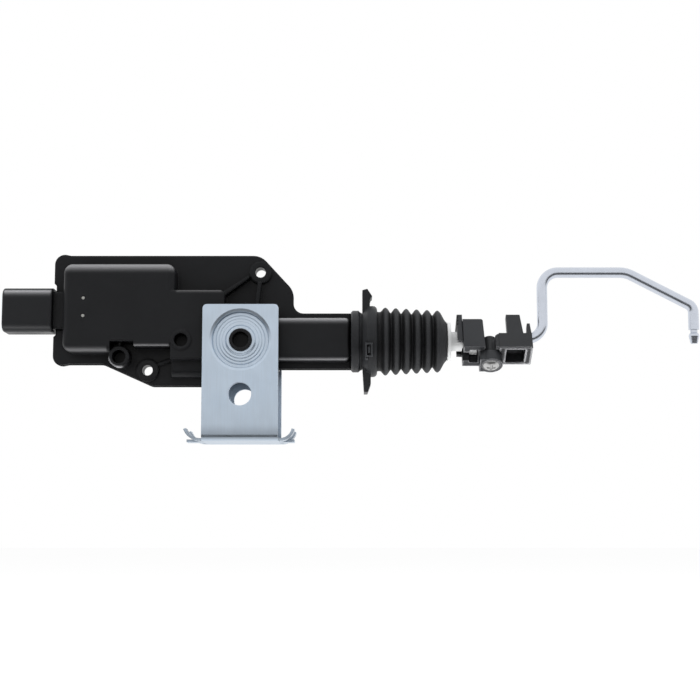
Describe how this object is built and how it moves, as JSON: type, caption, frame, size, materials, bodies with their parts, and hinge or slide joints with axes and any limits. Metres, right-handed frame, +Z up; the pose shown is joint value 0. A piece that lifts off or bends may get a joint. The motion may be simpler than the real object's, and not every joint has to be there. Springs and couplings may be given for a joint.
{
  "type": "door latch actuator",
  "caption": "Flat black motor housing on a zinc swivel bracket, with a bellows boot over its plunger and a plastic link that carries a bent rod.",
  "frame": {"origin": "centre of the bracket's lower cross hole, midway between the plates, on the parting plane of the two shells", "axes": "+X along the plunger towards the rod, +Z up from the bracket's web to the housing, +Y from the cover to the base"},
  "size_m": [0.3128, 0.034, 0.0852],
  "materials": {
    "zinc_sheet": "bright zinc plate with a bluish sheen, satin",
    "black_housing": "black glass-filled nylon, satin with a fine grain",
    "connector_black": "black plastic, smooth satin",
    "tinned_brass": "tinned brass",
    "breaker_brown": "brown phenolic",
    "motor_steel": "bright plated steel",
    "ferrite": "dark ferrite",
    "cap_white": "off-white plastic",
    "graphite": "graphite",
    "bronze": "sintered bronze",
    "ground_steel": "ground steel",
    "black_plastic": "black nylon, satin",
    "boot_rubber": "black rubber, soft satin",
    "bumper_rubber": "dark rubber",
    "armature_steel": "stamped electrical steel",
    "copper": "copper",
    "worm_brass": "machined brass",
    "gear_nylon": "natural nylon",
    "pale_nylon": "pale nylon, soft gloss",
    "link_black": "black plastic, satin",
    "clip_grey": "dark grey plastic, satin",
    "screw_steel": "zinc-plated screw",
    "zinc_rod": "bright zinc-plated wire, satin"
  },
  "bodies": {
    "bracket": {"bracket": "zinc_sheet"},
    "housing": {"housing_base": "black_housing", "housing_cover": "black_housing", "connector_shroud": "connector_black", "terminal_upper": "tinned_brass", "terminal_lower": "tinned_brass", "circuit_breaker": "breaker_brown", "motor_can": "motor_steel", "motor_magnets": "ferrite", "motor_end_cap": "cap_white", "motor_brushes": "graphite", "motor_bush_front": "bronze", "motor_bush_rear": "bronze", "gear_axle": "ground_steel", "guide_bush": "black_plastic", "tube_collar": "black_plastic", "boot_retainer": "black_plastic", "boot": "boot_rubber", "bumper_front": "bumper_rubber", "bumper_rear": "bumper_rubber"},
    "rotor": {"motor_shaft": "ground_steel", "armature": "armature_steel", "commutator": "copper", "worm": "worm_brass"},
    "gear": {"worm_wheel": "gear_nylon", "pinion": "gear_nylon"},
    "plunger_group": {"plunger": "pale_nylon", "link_yoke": "link_black", "yoke_key": "link_black"},
    "link": {"link_clip": "clip_grey", "link_screw": "screw_steel", "rod": "zinc_rod"}
  },
  "joints": [
    {"name": "bracket_swivel", "type": "hinge", "parent": "bracket", "child": "housing", "pos_m": [0, 0, 0.024], "axis": [0, 1, 0], "range_deg": [-15, 15]},
    {"name": "motor_spin", "type": "hinge", "parent": "housing", "child": "rotor", "pos_m": [0, 0, 0.0384], "axis": [1, 0, 0], "range_deg": [-2483.5, 0]},
    {"name": "gear_spin", "type": "hinge", "parent": "housing", "child": "gear", "pos_m": [-0.0165, 0, 0.02545], "axis": [0, 1, 0], "range_deg": [0, 191.1]},
    {"name": "plunger_slide", "type": "slide", "parent": "housing", "child": "plunger_group", "axis": [1, 0, 0], "range_m": [-0.016, 0], "deforming": ["boot"]},
    {"name": "link_swivel", "type": "hinge", "parent": "plunger_group", "child": "link", "pos_m": [0.1109, 0, 0.0252], "axis": [0, 0.5, 0.866], "range_deg": [-30, 30]}
  ],
  "couplings": [
    {"joint": "gear_spin", "follows": "plunger_slide", "rad_per_m": -208.33},
    {"joint": "motor_spin", "follows": "plunger_slide", "rad_per_m": 2708.3}
  ]
}
